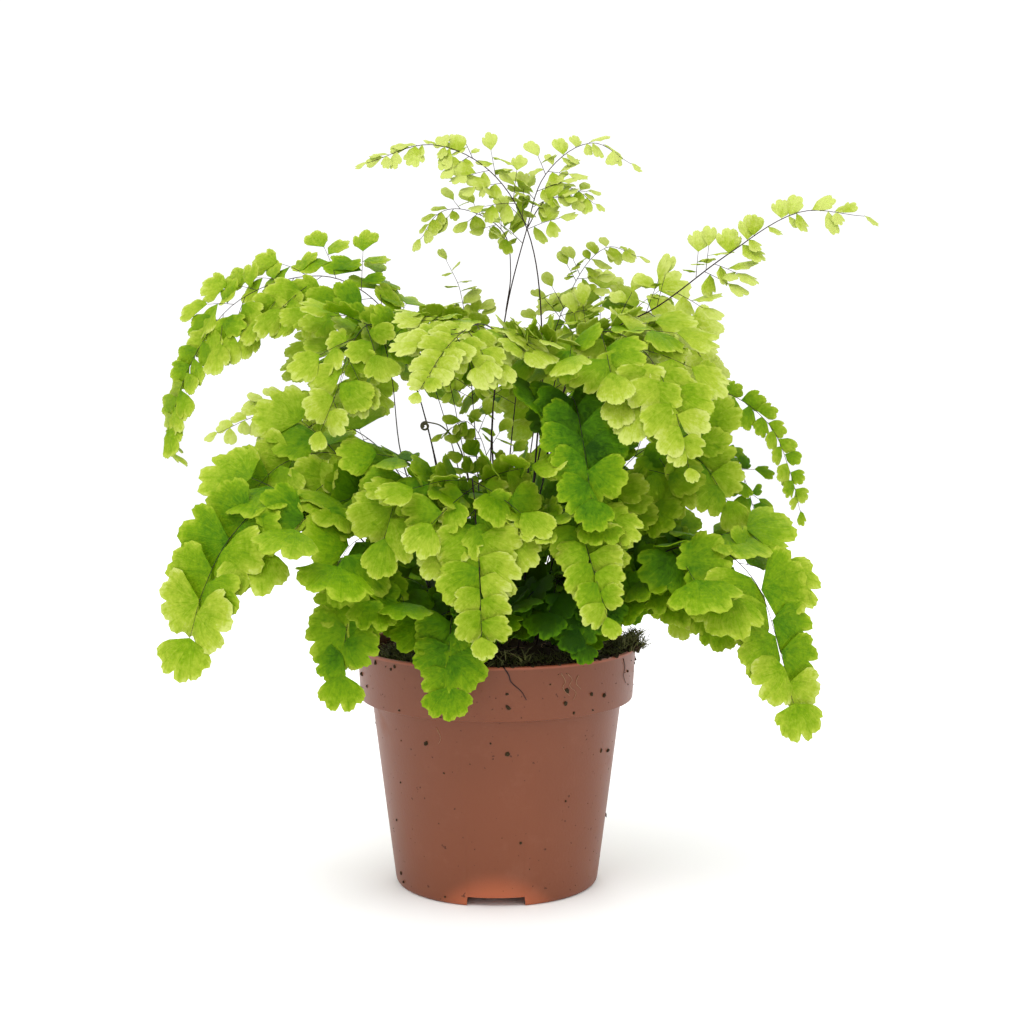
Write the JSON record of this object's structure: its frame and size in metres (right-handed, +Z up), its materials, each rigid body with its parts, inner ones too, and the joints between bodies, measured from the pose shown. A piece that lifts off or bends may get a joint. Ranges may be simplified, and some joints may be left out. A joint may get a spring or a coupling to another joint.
{
  "type": "potted fern",
  "caption": "Bushy maidenhair fern with thin dark stalks, fan-shaped leaflets and arching fronds, growing in soil in a tapered round plastic nursery pot with a banded rim.",
  "frame": {"origin": "on the ground under the middle of the plant's bounding box, within about 3 mm of the pot's axis", "axes": "+Z up along the pot's axis, -Y towards the front of the plant, +X to its right as seen from the front"},
  "size_m": [0.3049, 0.2183, 0.3217],
  "materials": {
    "pot": "satin terracotta-coloured moulded plastic",
    "soil": "dark moist peat, rough",
    "stalk": "smooth, nearly black, slightly shiny",
    "blade": "thin fresh green leaflets, slightly translucent",
    "crozier": "soft green-brown young frond"
  },
  "bodies": {
    "root": {"pot": "pot", "soil": "soil", "crozier": "crozier", "stalk_tall_left": "stalk", "stalk_tall_right": "stalk", "stalk_right_high": "stalk", "stalk_left_arch": "stalk", "stalk_left_mid": "stalk", "stalk_low_left": "stalk", "stalk_left_rim": "stalk", "stalk_left_shade": "stalk", "stalk_top_front": "stalk", "stalk_top_right": "stalk", "stalk_top_back": "stalk", "stalk_right_arch": "stalk", "stalk_centre_shade": "stalk", "stalk_centre_right": "stalk", "stalk_centre_front": "stalk", "stalk_front_rim": "stalk", "stalk_centre_low": "stalk", "stalk_right_low": "stalk", "stalk_right_inner": "stalk", "stalk_right_mid": "stalk", "stalk_right_thin": "stalk", "stalk_mid_left": "stalk", "stalk_back_left": "stalk", "stalk_back_mid": "stalk", "stalk_back_right": "stalk", "stalk_back_low_left": "stalk", "stalk_back_low_right": "stalk", "stalk_back_low_mid": "stalk", "blade_tall_left": "blade", "blade_tall_right": "blade", "blade_right_high": "blade", "blade_left_arch": "blade", "blade_left_mid": "blade", "blade_low_left": "blade", "blade_left_rim": "blade", "blade_left_shade": "blade", "blade_top_front": "blade", "blade_top_right": "blade", "blade_top_back": "blade", "blade_right_arch": "blade", "blade_centre_shade": "blade", "blade_centre_right": "blade", "blade_centre_front": "blade", "blade_front_rim": "blade", "blade_centre_low": "blade", "blade_right_low": "blade", "blade_right_inner": "blade", "blade_right_mid": "blade", "blade_right_thin": "blade", "blade_mid_left": "blade", "blade_back_left": "blade", "blade_back_mid": "blade", "blade_back_right": "blade", "blade_back_low_left": "blade", "blade_back_low_right": "blade", "blade_back_low_mid": "blade"}
  },
  "joints": []
}
